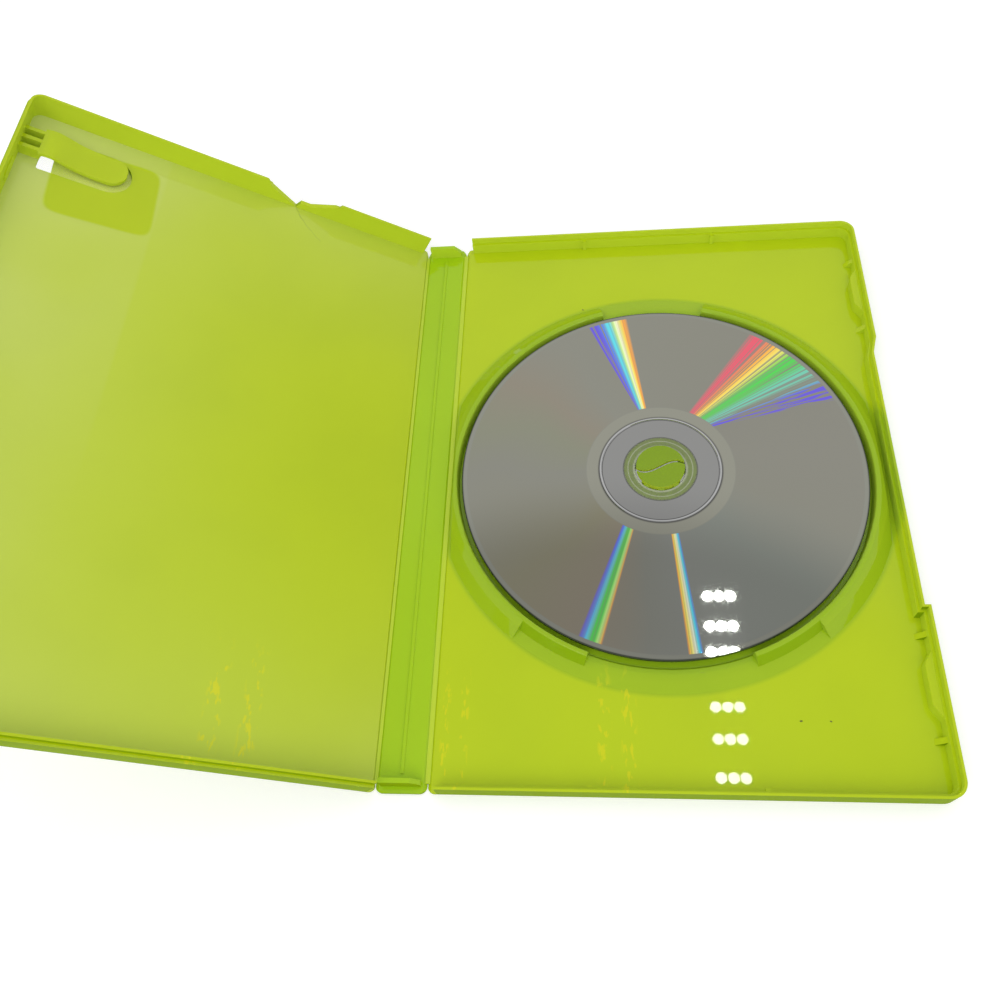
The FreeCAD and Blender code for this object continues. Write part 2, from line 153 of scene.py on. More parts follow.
class SleeveFinish(bpy.types.PropertyGroup):
    """Clear film of the sleeve, and the blank label on it"""
    film_tint: bpy.props.FloatVectorProperty(
        name="Film tint", description="Colour of the clear film", subtype="COLOR",
        default=(0.86, 0.90, 0.84))
    film_cover: bpy.props.FloatProperty(
        name="Film cover", description="How much the film hides what lies behind it", default=0.1,
        min=0.0, max=1.0, subtype="FACTOR")
    film_t: bpy.props.FloatProperty(
        name="Film thickness", description="Thickness of the film", default=0.03 * MM, unit="LENGTH")
    label_along: bpy.props.FloatProperty(
        name="Label along", description="Distance of the blank label's middle from the cover's fold",
        default=106.5 * MM, unit="LENGTH")
    label_up: bpy.props.FloatProperty(
        name="Label up", description="Height of the blank label's middle up the case", default=72.4 * MM,
        unit="LENGTH")
    label_wide: bpy.props.FloatProperty(
        name="Label width", description="Width of the blank label", default=30.4 * MM, unit="LENGTH")
    label_high: bpy.props.FloatProperty(
        name="Label height", description="Height of the blank label", default=27.4 * MM, unit="LENGTH")
    label_turn: bpy.props.FloatProperty(
        name="Label turn", description="How far the blank label is stuck askew", default=math.radians(4.0),
        unit="ROTATION")
    label_paper: bpy.props.FloatVectorProperty(
        name="Label paper", description="Colour of the blank label's face", subtype="COLOR",
        default=(0.80, 0.79, 0.74))
    label_glue: bpy.props.FloatVectorProperty(
        name="Label glue", description="Colour of the blank label's glued side", subtype="COLOR",
        default=(0.78, 0.88, 0.01))


class CaseWear(bpy.types.PropertyGroup):
    """Crack and dirt specks"""
    crack_width: bpy.props.FloatProperty(
        name="Crack width", description="Width of the hairline crack where it starts", default=0.42 * MM,
        unit="LENGTH")
    crack_green: bpy.props.FloatVectorProperty(
        name="Crack green", description="Colour of the crack", subtype="COLOR", default=(0.22, 0.30, 0.03))
    speck_r: bpy.props.FloatProperty(
        name="Speck radius", description="Radius of the dirt specks", default=0.32 * MM, unit="LENGTH")
    speck_brown: bpy.props.FloatVectorProperty(
        name="Speck brown", description="Colour of the dirt specks", subtype="COLOR",
        default=(0.09, 0.10, 0.012))


class StageSettings(bpy.types.PropertyGroup):
    """Camera, floor and lights"""
    aim: bpy.props.FloatVectorProperty(
        name="Aim", description="Point that the camera looks at", subtype="TRANSLATION", unit="LENGTH",
        default=(-48.53 * MM, -7.43 * MM, 0.0))
    azimuth: bpy.props.FloatProperty(
        name="Azimuth", description="Turn of the camera round the case", unit="ROTATION",
        default=math.radians(12.662))
    elevation: bpy.props.FloatProperty(
        name="Elevation", description="Height of the camera above the horizon", unit="ROTATION",
        default=math.radians(60.536))
    roll: bpy.props.FloatProperty(
        name="Roll", description="Turn of the camera about its own axis", unit="ROTATION",
        default=math.radians(-12.011))
    distance: bpy.props.FloatProperty(
        name="Distance", description="Distance of the camera from its aim", unit="LENGTH", default=0.27612)
    lens: bpy.props.FloatProperty(
        name="Lens", description="Focal length for a 36 mm frame", default=32.484, unit="CAMERA")
    floor_white: bpy.props.FloatVectorProperty(
        name="Floor white", description="Colour of the floor", subtype="COLOR", default=(0.86, 0.86, 0.86))
    floor_glow: bpy.props.FloatProperty(
        name="Floor glow", description="Share of white that the floor keeps in the shadow", default=0.30,
        min=0.0, max=1.0)
    sky: bpy.props.FloatProperty(
        name="Sky", description="Strength of the even light from all round", default=0.82, min=0.0)
    ceiling_grey: bpy.props.FloatProperty(
        name="Ceiling grey", description="How much of the sky's light is left straight overhead",
        default=0.77, min=0.0, max=1.0, subtype="FACTOR")
    key_power: bpy.props.FloatProperty(
        name="Key power", description="Power of the soft light overhead", default=5.0, unit="POWER")
    lamp_power: bpy.props.FloatProperty(
        name="Lamp power", description="Power of each small ceiling lamp", default=0.07, unit="POWER")


class Graph:
    """Small helper that adds and links shader nodes in one tree"""

    def __init__(self, tree):
        self.tree = tree
        self.column = 0

    def node(self, kind, **settings):
        """Adds a node and sets its own properties."""
        made = self.tree.nodes.new(kind)
        made.location = (180 * self.column, 0)
        self.column += 1
        for name, value in settings.items():
            setattr(made, name, value)
        return made

    def put(self, socket, value):
        """Links a socket to a socket, or sets a plain value on it."""
        if isinstance(value, bpy.types.NodeSocket):
            self.tree.links.new(value, socket)
        elif hasattr(value, "__len__") and len(value) == 3 and socket.type == "RGBA":
            socket.default_value = (*value, 1.0)
        else:
            socket.default_value = value

    def math(self, operation, first, second=0.0, third=None):
        """One Math node's value."""
        made = self.node("ShaderNodeMath", operation=operation)
        self.put(made.inputs[0], first)
        self.put(made.inputs[1], second)
        if third is not None:
            self.put(made.inputs[2], third)
        return made.outputs[0]

    def blend(self, share, first, second, mode="MIX"):
        """One colour mixed with another by a share."""
        made = self.node("ShaderNodeMix", data_type="RGBA", blend_type=mode)
        self.put(made.inputs[0], share)
        self.put(made.inputs[6], first)
        self.put(made.inputs[7], second)
        return made.outputs[2]

    def dot(self, first, second):
        """Dot product of two vectors."""
        made = self.node("ShaderNodeVectorMath", operation="DOT_PRODUCT")
        self.put(made.inputs[0], first)
        self.put(made.inputs[1], second)
        return made.outputs["Value"]

    def step(self, value, low, high, first=0.0, second=1.0, shape="SMOOTHSTEP"):
        """Value carried from a low-high range to another one, held at its ends."""
        made = self.node("ShaderNodeMapRange", interpolation_type=shape)
        for socket, number in zip(made.inputs, (value, low, high, first, second)):
            self.put(socket, number)
        return made.outputs[0]

    def split(self, vector):
        """X, Y and Z of a vector."""
        made = self.node("ShaderNodeSeparateXYZ")
        self.put(made.inputs[0], vector)
        return made.outputs

    def radius(self, place):
        """Distance of a place from the disc's axis, which is the Z axis."""
        x, y, _ = self.split(place)
        return self.math("SQRT", self.math("MULTIPLY_ADD", x, x, self.math("MULTIPLY", y, y)))

    def noise(self, vector, scale, detail=2.0, roughness=0.5):
        """Noise value at a scale, about 0.5."""
        made = self.node("ShaderNodeTexNoise")
        self.put(made.inputs["Vector"], vector)
        made.inputs["Scale"].default_value = scale
        made.inputs["Detail"].default_value = detail
        made.inputs["Roughness"].default_value = roughness
        return made.outputs[0]

    def ramp(self, value, stops, shape="LINEAR"):
        """Colour of a ramp of (place, colour) stops."""
        made = self.node("ShaderNodeValToRGB")
        made.color_ramp.interpolation = shape
        elements = made.color_ramp.elements
        while len(elements) < len(stops):
            elements.new(1.0)
        for element, (place, colour) in zip(elements, stops):
            element.position = place
            element.color = (*colour, 1.0)
        self.put(made.inputs[0], value)
        return made.outputs[0]

    def bump(self, height, strength, distance):
        """Normal bent by a height."""
        made = self.node("ShaderNodeBump")
        made.inputs["Strength"].default_value = strength
        made.inputs["Distance"].default_value = distance
        self.put(made.inputs["Height"], height)
        return made.outputs[0]


def new_material(name):
    """Material with one Principled shader, and its graph."""
    material = bpy.data.materials.new(name)
    material.use_nodes = True
    graph = Graph(material.node_tree)
    shader = material.node_tree.nodes["Principled BSDF"]
    place = graph.node("ShaderNodeTexCoord").outputs["Object"]
    return material, graph, shader, place


# Noise scales per metre
DRIFT_SCALE = 28.0
HAZE_PATCH_SCALE = 17.0
FLOW_SCALE = 160.0
WAVE_SCALE = 70.0
# Where the masks of flat faces and of outer walls start and end
FLAT_FACING = (0.3, 0.8)
AWAY_FROM_MIDDLE = (5.0 * MM, 25.0 * MM)
# Shares of the colours, and weight of the coat, which outer walls have none of
DRIFT_SHARE = 0.09
# Share of painted light on the inner walls
INNER_LIT_SHARE = 0.6
# Share of painted haze on the inner walls
INNER_HAZE = 0.08
PANEL_GLOSS = 0.5
INNER_GLOSS = 0.1
PLASTIC_ROUGHNESS = (0.18, 0.26)


def moulded_surface():
    """Node group of moulded plastic: colour drift, painted haze and glints, waviness and painted wall shade.

    Drift is one noise over a few centimetres, and milk another, which makes the painted haze patchy. A
    painted crease glint is a noise stretched up the case, cut high so that only thin dashes are left. A face
    is flat where it looks along the panel's axis, and outer where it is a wall that looks away from the
    case's middle.
    Outer walls take the deeper colour as painted shade. Inner walls take a paler colour as painted light
    through them, and a little painted haze. The painted shade of the cradle goes over these by its own
    share.
    Waviness is one slow noise."""
    if "moulded_surface" in bpy.data.node_groups:
        return bpy.data.node_groups["moulded_surface"]
    tree = bpy.data.node_groups.new("moulded_surface", "ShaderNodeTree")
    sockets = tree.interface
    for name, kind in (("Place", "NodeSocketVector"), ("Facing", "NodeSocketVector"),
                       ("Panel axis", "NodeSocketVector"), ("Body", "NodeSocketColor"),
                       ("Drift and wall shade", "NodeSocketColor"), ("Thin", "NodeSocketColor"),
                       ("Haze", "NodeSocketColor"), ("Crease glint", "NodeSocketColor"),
                       ("Hollow", "NodeSocketColor"), ("Hollow share", "NodeSocketFloat"),
                       ("Haze share", "NodeSocketFloat"), ("Crease share", "NodeSocketFloat")):
        sockets.new_socket(name, in_out="INPUT", socket_type=kind)
    for name, kind in (("Color", "NodeSocketColor"), ("Roughness", "NodeSocketFloat"),
                       ("Gloss", "NodeSocketFloat"), ("Height", "NodeSocketFloat")):
        sockets.new_socket(name, in_out="OUTPUT", socket_type=kind)
    graph = Graph(tree)
    ask = graph.node("NodeGroupInput").outputs
    give = graph.node("NodeGroupOutput").inputs
    flat = graph.step(graph.math("ABSOLUTE", graph.dot(ask["Facing"], ask["Panel axis"])), *FLAT_FACING)
    wall = graph.math("SUBTRACT", 1.0, flat)
    away = graph.step(graph.dot(ask["Facing"], ask["Place"]), *AWAY_FROM_MIDDLE)
    outer = graph.math("MULTIPLY", wall, away)
    inner = graph.math("MULTIPLY", wall, graph.math("SUBTRACT", 1.0, away))
    drift = graph.step(graph.noise(ask["Place"], DRIFT_SCALE), 0.35, 0.75, 0.0, DRIFT_SHARE)
    milk = graph.step(graph.noise(ask["Place"], HAZE_PATCH_SCALE, 1.5), 0.38, 0.62, 0.75, 1.0)
    # Painted light: inner walls made paler, as if lit through the plastic
    colour = graph.blend(graph.math("MULTIPLY", inner, INNER_LIT_SHARE), ask["Body"], ask["Thin"])
    # Random drift of tone, and painted shade on the outer walls
    colour = graph.blend(graph.math("MAXIMUM", drift, outer), colour, ask["Drift and wall shade"])
    # Painted shade in the cradle round the disc
    colour = graph.blend(ask["Hollow share"], colour, ask["Hollow"])
    # Painted haze: milky painted light on flat faces, patchy by the milk noise, and a little on the inner
    # walls
    haze = graph.math("MULTIPLY", graph.math("MULTIPLY", milk, flat), ask["Haze share"])
    colour = graph.blend(graph.math("MULTIPLY_ADD", inner, INNER_HAZE, haze), colour, ask["Haze"])
    # Painted glints of the sleeve's creases, on flat faces
    dashes = graph.math("MULTIPLY", painted_crease_glints(graph, ask["Place"]), flat)
    crease = graph.math("MULTIPLY", dashes, ask["Crease share"])
    graph.put(give["Color"], graph.blend(crease, colour, ask["Crease glint"]))
    flow = graph.noise(ask["Place"], FLOW_SCALE)
    graph.put(give["Roughness"], graph.step(flow, 0.3, 0.7, *PLASTIC_ROUGHNESS))
    gloss = graph.math("MULTIPLY_ADD", flat, PANEL_GLOSS - INNER_GLOSS, INNER_GLOSS)
    graph.put(give["Gloss"], graph.math("MULTIPLY_ADD", outer, -INNER_GLOSS, gloss))
    graph.put(give["Height"], graph.noise(ask["Place"], WAVE_SCALE, 1.0))
    return tree


# Middle and half width across the case of each band of painted crease glints, in millimetres
CREASE_GLINT_BANDS = ((-18.1, 2.4), (-11.6, 2.6), (-60.5, 1.6), (-55.5, 1.6), (-108.0, 2.6), (-116.0, 2.6))
CREASE_STRETCH = (620.0, 210.0, 60.0)
CREASE_FROM_Y = -58.0 * MM
CREASE_FULL_Y = -70.0 * MM


def painted_crease_glints(graph, place):
    """Mask of painted glints of the sleeve's creases: thin dashes up the case, in a few bands across it,
    near its lower end.
    """
    stretch = graph.node("ShaderNodeVectorMath", operation="MULTIPLY")
    graph.put(stretch.inputs[0], place)
    stretch.inputs[1].default_value = CREASE_STRETCH
    dash = graph.step(graph.noise(stretch.outputs[0], 1.0, 2.0, 0.6), 0.54, 0.62)
    x, y, _ = graph.split(place)
    bands = 0.0
    for middle, half in CREASE_GLINT_BANDS:
        far = graph.math("ABSOLUTE", graph.math("SUBTRACT", x, middle * MM))
        bands = graph.math("MAXIMUM", graph.step(far, half * MM, 0.4 * half * MM), bands)
    lower = graph.step(y, CREASE_FROM_Y, CREASE_FULL_Y)
    return graph.math("MULTIPLY", dash, graph.math("MULTIPLY", bands, lower))


# Small share of painted haze, for light coming up through the plastic, on every panel but the cover
PLAIN_HAZE = 0.03
PEEL_STRENGTH = 0.25
PEEL_DEPTH = 0.1 * MM


def moulded_material(name, body, haze=None, hollow=None, crease_glint_share=0.0, axis=(0.0, 0.0, 1.0)):
    """Translucent glossy plastic of one panel: surface group, peel bump and a crisp coat.

    Haze and hollow are functions that give the panel's share of painted haze and its share of painted shade
    in the cradle at a place."""
    finish = bpy.context.scene.moulding_finish
    material, graph, shader, place = new_material(name)
    group = graph.node("ShaderNodeGroup", node_tree=moulded_surface())
    graph.put(group.inputs["Place"], place)
    graph.put(group.inputs["Facing"], place.node.outputs["Normal"])
    group.inputs["Panel axis"].default_value = axis
    for socket, value in (("Body", body), ("Drift and wall shade", finish.drift_and_wall_shade_green), ("Thin", finish.inner_wall_lit_green),
                          ("Haze", finish.haze_green), ("Crease glint", finish.crease_glint_yellow),
                          ("Hollow", finish.cradle_shade_green)):
        group.inputs[socket].default_value = (*value, 1.0)
    graph.put(group.inputs["Haze share"], haze(graph, place) if haze else PLAIN_HAZE)
    graph.put(group.inputs["Hollow share"], hollow(graph, place) if hollow else 0.0)
    group.inputs["Crease share"].default_value = crease_glint_share
    graph.put(shader.inputs["Base Color"], group.outputs["Color"])
    graph.put(shader.inputs["Roughness"], group.outputs["Roughness"])
    graph.put(shader.inputs["Coat Weight"], group.outputs["Gloss"])
    graph.put(shader.inputs["Normal"], graph.bump(group.outputs["Height"], PEEL_STRENGTH, PEEL_DEPTH))
    shader.inputs["IOR"].default_value = PLASTIC_IOR
    shader.inputs["Specular IOR Level"].default_value = 0.0
    shader.inputs["Transmission Weight"].default_value = PLASTIC_CLEARNESS
    shader.inputs["Coat Roughness"].default_value = COAT_ROUGHNESS
    return material


# Shares of painted shade in the cradle, away from the disc and next to it
CRADLE_SHADE_FAR = 0.52
CRADLE_SHADE_CLOSE = 0.75
# Distances from the disc's edge
CLOSE_FROM = 0.5 * MM
CLOSE_TO = 5.0 * MM
SKIRT_FROM = 8.0 * MM
SKIRT_TO = 9.6 * MM


def cradle_painted_shade(graph, place):
    """Share of painted shade on the tray by radius: the hollow cradle round the disc, and most of all close
    to the disc.
    """
    radius = graph.radius(place)
    close = graph.step(radius, DISC_R + CLOSE_TO, DISC_R + CLOSE_FROM, CRADLE_SHADE_FAR, CRADLE_SHADE_CLOSE)
    return graph.math("MULTIPLY", close, graph.step(radius, DISC_R + SKIRT_TO, DISC_R + SKIRT_FROM))


HAZE_FAR_END = 0.52
HAZE_CASE_ENDS = 0.30
HAZE_STRIP = 0.10
# Distances from the cover's fold, and up the case, over which the step of extra painted haze shows
STRIP_FROM = 89.5 * MM
STRIP_TO = 91.0 * MM
STRIP_LOW_Y = -40.0 * MM
STRIP_HIGH_Y = 30.0 * MM


def cover_haze(graph, place):
    """Share of painted haze on the cover: painted light where light comes up under it.

    It grows with the distance from the fold to the power 2.5 and with the cube of the distance from the
    middle of the case, steps up a little past a set distance from the fold, stops where the blank label is
    behind, and leaves out what stands up from the panel."""
    y = graph.split(place)[1]
    along = graph.math("SUBTRACT", graph.dot(place, COVER_ALONG), COVER_START)
    reach = graph.step(along, 0.0, COVER_REACH, shape="LINEAR")
    ends = graph.step(graph.math("ABSOLUTE", y), 0.0, TRAY_HIGH.y, shape="LINEAR")
    haze = graph.math("MULTIPLY", graph.math("POWER", reach, 2.5), HAZE_FAR_END)
    haze = graph.math("MULTIPLY_ADD", graph.math("POWER", ends, 3.0), HAZE_CASE_ENDS, haze)
    strip = graph.step(along, STRIP_FROM, STRIP_TO, 0.0, HAZE_STRIP)
    haze = graph.math("MULTIPLY_ADD", strip, graph.step(y, STRIP_LOW_Y, STRIP_HIGH_Y), haze)
    height = graph.math("SUBTRACT", graph.dot(place, COVER_OUT), COVER_FOLD.dot(Vector(COVER_OUT)))
    haze = graph.math("MULTIPLY", haze, graph.step(height, PANEL_T + 0.5 * MM, PANEL_T + 0.2 * MM))
    return graph.math("MULTIPLY", haze, graph.math("SUBTRACT", 1.0, label_mask(graph, place)))


LABEL_SOFT_EDGE = (1.35, 0.70)


def label_mask(graph, place):
    """1 behind the blank label and 0 beside it: a superellipse of high power with a soft edge."""
    sleeve = bpy.context.scene.sleeve_finish
    along, up = Vector(COVER_ALONG), Vector((0.0, 1.0, 0.0))
    middle = COVER_FOLD + along * sleeve.label_along + up * (sleeve.label_up - COVER_FOLD.y)
    turn = Matrix.Rotation(sleeve.label_turn, 3, Vector(COVER_OUT))
    far = 0.0
    for side, size in ((turn @ along, sleeve.label_wide), (turn @ up, sleeve.label_high)):
        away = graph.math("ABSOLUTE", graph.math("SUBTRACT", graph.dot(place, side), middle.dot(side)))
        share = graph.math("DIVIDE", away, size / 2.0)
        far = graph.math("ADD", graph.math("POWER", share, LABEL_POWER), far)
    return graph.step(far, *LABEL_SOFT_EDGE)


def dress(node, material):
    """Puts one material on all of a CAD node."""
    mesh = frame["nodes"][node].data
    mesh.materials.clear()
    mesh.materials.append(material)


def grainy_material(name, scale, detail, colours, roughness):
    """Plain material of two colours mixed by a fine noise, which also sets how rough it is."""
    material, graph, shader, place = new_material(name)
    grain = graph.noise(place, scale, detail)
    graph.put(shader.inputs["Base Color"], graph.blend(grain, *colours))
    graph.put(shader.inputs["Roughness"], graph.step(grain, 0.2, 0.8, *roughness))
    return material


def add_piece(name, points, faces, material):
    """New mesh object at the origin from arrays of points and faces."""
    mesh = bpy.data.meshes.new(name)
    mesh.from_pydata(points.tolist(), [], faces)
    mesh.validate()
    mesh.materials.append(material)
    mesh.update()
    made = bpy.data.objects.new(name, mesh)
    bpy.context.scene.collection.objects.link(made)
    return made


def swept(sections, start=0):
    """Closed skin over sections of shape (rings, points, 3): quads between rings and a cap at each end.

    Start is the number of its first point, where it is one of several skins in a mesh."""
    rings, count = sections.shape[:2]
    ring, point = np.meshgrid(np.arange(rings - 1), np.arange(count), indexing="ij")
    after = (point + 1) % count
    quads = np.stack([ring * count + point, ring * count + after, (ring + 1) * count + after,
                      (ring + 1) * count + point], axis=-1).reshape(-1, 4)
    first = np.arange(count)[::-1]
    last = np.arange(count) + (rings - 1) * count
    faces = (quads + start).tolist() + [(first + start).tolist(), (last + start).tolist()]
    return sections.reshape(-1, 3), faces


def closed_piece(name, points, faces, material):
    """New piece from a closed skin, with its normals turned outwards."""
    piece = add_piece(name, points, faces, material)
    edit = bmesh.new()
    edit.from_mesh(piece.data)
    bmesh.ops.recalc_face_normals(edit, faces=edit.faces)
    edit.to_mesh(piece.data)
    edit.free()
    return piece


def cover_point(along, up, high):
    """Point of the cover's own measure (from the fold, up the case, above the outer face) in the frame."""
    x = COVER_FOLD.x - along * math.cos(COVER_ANGLE) + high * math.sin(COVER_ANGLE)
    z = COVER_FOLD.z + along * math.sin(COVER_ANGLE) + high * math.cos(COVER_ANGLE)
    return np.stack([x + 0 * up, up + 0 * along, z + 0 * up], axis=-1)


# Share of the painted crease glints on the tray and cover
CREASE_GLINT_SHARE = 0.6


class CASE_OT_dress_moulding(bpy.types.Operator):
    """Give the tray, hub, spine and cover their translucent green plastic"""
    bl_idname = "case.dress_moulding"
    bl_label = "Dress moulding"

    def execute(self, context):
        finish = context.scene.moulding_finish
        tray = moulded_material("tray_lime", finish.tray_green, hollow=cradle_painted_shade,
                                crease_glint_share=CREASE_GLINT_SHARE)
        cover = moulded_material("cover_lime", finish.cover_green, haze=cover_haze,
                                 crease_glint_share=CREASE_GLINT_SHARE, axis=COVER_OUT)
        spine = moulded_material("spine_lime", finish.spine_green)
        hub = moulded_material("hub_shaded_lime", finish.hub_shade_green)
        for node, material in (("tray", tray), ("front_cover", cover), ("spine", spine),
                               ("hub_half_top", hub), ("hub_half_bottom", hub)):
            dress(node, material)
        return {"FINISHED"}


class CASE_OT_dress_disc(bpy.types.Operator):
    """Give the disc its clear middle, mirror rings and painted rainbow sheen"""
    bl_idname = "case.dress_disc"
    bl_label = "Dress disc"

    def execute(self, context):
        dress("disc", disc_material(context.scene.disc_finish))
        return {"FINISHED"}


RING_LINE = (0.04, 0.04, 0.04)
RING_GLINT = (0.6, 0.6, 0.6)
CLEAR_PLASTIC = (0.30, 0.37, 0.14)
# Painted highlights: pale lines at the edges in the disc's clear middle
CLEAR_EDGE_GLINT = (0.62, 0.66, 0.50)
BARE_METAL = (0.275, 0.275, 0.268)
RIM_LINE = (0.06, 0.07, 0.05)
RIM_PALER = 1.05


def disc_rings(graph, radius, disc):
    """Ring colours by radius: clear middle, metal ring, stacking ring lines, bare band, data area, rim."""
    grey, band = tuple(disc.mirror_grey), tuple(disc.band_grey)
    rim = tuple(RIM_PALER * value for value in grey)
    ring, foil = disc.ring_r, disc.clear_r
    stops = [
        (8.0 * MM, CLEAR_EDGE_GLINT), (8.3 * MM, CLEAR_PLASTIC), (9.4 * MM, CLEAR_PLASTIC), (9.6 * MM, CLEAR_EDGE_GLINT),
        (9.8 * MM, CLEAR_PLASTIC), (foil - 0.4 * MM, CLEAR_PLASTIC), (foil - 0.1 * MM, RING_LINE),
        (foil + 0.2 * MM, BARE_METAL), (ring - 0.75 * MM, BARE_METAL), (ring - 0.55 * MM, RING_LINE),
        (ring - 0.3 * MM, RING_GLINT), (ring + 0.2 * MM, BARE_METAL), (ring + 0.45 * MM, RING_LINE),
        (ring + 0.7 * MM, band), (disc.band_r - 0.1 * MM, band), (disc.band_r + 0.1 * MM, grey),
        (disc.data_r, grey), (disc.data_r + 0.1 * MM, rim), (DISC_R - 0.5 * MM, rim),
        (DISC_R - 0.3 * MM, RIM_LINE),
    ]
    return graph.ramp(graph.math("DIVIDE", radius, DISC_R), [(r / DISC_R, c) for r, c in stops])


SCUFF_SCALE = 900.0
SILVER_COAT = ((0.55, 0.55, 0.54), (0.62, 0.62, 0.61))
SHEEN_SHARE = 0.8
CLEAR_ALPHA = 0.6
DISC_ROUGHNESS = (0.012, 0.03)
COAT_DULLER = 0.35


def disc_material(disc):
    """Mirror disc: rings by radius, a painted slow sheen and painted rainbow reflections by angle, a
    see-through middle.

    The underside, which the case hides, is a plain silvery coat."""
    material, graph, shader, place = new_material("disc_mirror")
    radius = graph.radius(place)
    x, y, _ = graph.split(place)
    turn = graph.math("DEGREES", graph.math("ARCTAN2", y, x))
    upper = graph.step(graph.split(place.node.outputs["Normal"])[2], -0.3, 0.0)
    colour = disc_rings(graph, radius, disc)
    data = graph.math("MULTIPLY", graph.step(radius, disc.band_r, disc.band_r + 0.3 * MM),
                      graph.step(radius, disc.data_r, disc.data_r - 0.3 * MM))
    sheen = slow_sheen(graph, turn, place)
    colour = graph.blend(graph.math("MULTIPLY", data, SHEEN_SHARE), colour, sheen, "MULTIPLY")
    colour = rainbow(graph, colour, radius, turn, data, disc)
    scuff = graph.noise(place, SCUFF_SCALE, 3.0)
    silver = graph.blend(scuff, *SILVER_COAT)
    graph.put(shader.inputs["Base Color"], graph.blend(upper, silver, colour))
    metal = graph.step(radius, disc.clear_r - 0.15 * MM, disc.clear_r + 0.05 * MM)
    graph.put(shader.inputs["Metallic"], graph.math("MULTIPLY", metal, upper))
    solid = graph.step(radius, disc.clear_r - 0.5 * MM, disc.clear_r, CLEAR_ALPHA, 1.0)
    graph.put(shader.inputs["Alpha"], solid)
    gloss = graph.step(scuff, 0.3, 0.75, *DISC_ROUGHNESS)
    duller = graph.step(upper, 1.0, 0.0, 0.0, COAT_DULLER)
    graph.put(shader.inputs["Roughness"], graph.math("ADD", gloss, duller))
    return material


# Tint of the painted sheen at each share of a turn about the hub
SHEEN = (
    (0.00, (1.00, 0.98, 0.98)), (0.05, (1.02, 0.98, 0.90)), (0.11, (1.02, 0.94, 0.74)),
    (0.17, (1.06, 0.90, 0.80)), (0.22, (0.92, 0.92, 0.94)), (0.28, (0.96, 0.98, 1.06)),
    (0.38, (0.92, 0.98, 1.02)), (0.46, (1.00, 0.97, 0.95)), (0.52, (1.02, 0.98, 0.98)),
    (0.60, (1.00, 0.96, 0.96)), (0.72, (1.03, 1.00, 0.98)), (0.84, (1.05, 1.03, 1.02)),
    (0.91, (1.12, 0.98, 0.90)), (0.955, (1.02, 1.03, 0.88)), (1.00, (1.00, 0.98, 0.98)),
)


def slow_sheen(graph, turn, place):
    """Painted sheen: weak tints of reflected light that follow the angle about the hub, bent a little by a
    slow noise.
    """
    drift = graph.step(graph.noise(place, 25.0, 1.0), 0.2, 0.8, -0.03, 0.03, "LINEAR")
    return graph.ramp(graph.math("ADD", graph.step(turn, -180.0, 180.0, shape="LINEAR"), drift), SHEEN)


VIOLET = (0.17, 0.13, 0.72)
BLUE = (0.12, 0.30, 0.90)
CYAN = (0.14, 0.74, 0.84)
TEAL = (0.20, 0.62, 0.46)
GREEN = (0.12, 0.66, 0.12)
LIME = (0.62, 0.95, 0.30)
WHITE = (1.0, 1.0, 0.70)
YELLOW = (0.95, 0.86, 0.18)
ORANGE = (1.00, 0.42, 0.08)
RED = (0.82, 0.14, 0.19)
WEDGES = (
    # First hue's angle and the width in degrees at the band, the same at the rim, hues, streaks across and
    # along, and how much colour is left in the gaps between streaks
    (98.4, 6.6, 98.0, 8.8, (ORANGE, ORANGE, YELLOW, WHITE, LIME, CYAN, CYAN, BLUE), 14.0, 0.5, 0.7),
    (104.6, 0.8, 106.0, 5.0, (BLUE, VIOLET, VIOLET), 9.0, 1.0, 0.1),
    (64.8, -20.0, 58.8, -27.5, (RED, RED, ORANGE, YELLOW, GREEN, GREEN, TEAL, TEAL), 64.0, 0.4, 0.2),
    (45.5, -5.0, 33.0, -10.0, (TEAL, VIOLET, VIOLET, VIOLET), 12.0, 3.0, 0.0),
    (-122.4, 10.0, -115.2, 7.2, (VIOLET, BLUE, CYAN, GREEN, GREEN, LIME, ORANGE), 14.0, 0.5, 0.7),
    (-84.8, 6.2, -85.4, 4.2, (ORANGE, YELLOW, WHITE, CYAN, BLUE), 9.0, 0.5, 0.7),
)


def rainbow(graph, colour, radius, turn, data, disc):
    """Paints each wedge of rainbow reflection over the data area, as hues fixed to the disc.

    A wedge's place across is the angle from its first hue, as a share of its width. Both change from the
    band to the rim with the inverse of the radius, as the angle does along a straight line that misses the
    middle. A noise that runs mostly across cuts it into streaks."""
    along = graph.step(radius, disc.band_r, disc.data_r, shape="LINEAR")
    inverse = graph.math("DIVIDE", 1.0, radius)
    ease = graph.step(inverse, 1.0 / disc.band_r, 1.0 / disc.data_r, shape="LINEAR")
    for first_in, width_in, first_out, width_out, hues, streaks, breaks, gap in WEDGES:
        first = graph.math("MULTIPLY_ADD", ease, first_out - first_in, first_in)
        width = graph.math("MULTIPLY_ADD", ease, width_out - width_in, width_in)
        across = graph.math("DIVIDE", graph.math("SUBTRACT", turn, first), width)
        hue = graph.ramp(across, list(zip(np.linspace(0.06, 0.94, len(hues)), hues)))
        grain = graph.node("ShaderNodeCombineXYZ")
        graph.put(grain.inputs[0], graph.math("MULTIPLY", across, streaks))
        graph.put(grain.inputs[1], graph.math("MULTIPLY", along, breaks))
        graph.put(grain.inputs[2], first_in)
        lines = graph.step(graph.noise(grain.outputs[0], 1.0, 1.0), 0.42, 0.54, gap, 1.0)
        sides = graph.math("MULTIPLY", graph.step(across, 0.0, 0.1), graph.step(across, 1.0, 0.86))
        share = graph.math("MULTIPLY", graph.math("MULTIPLY", sides, lines), data)
        colour = graph.blend(share, colour, hue)
    return colour


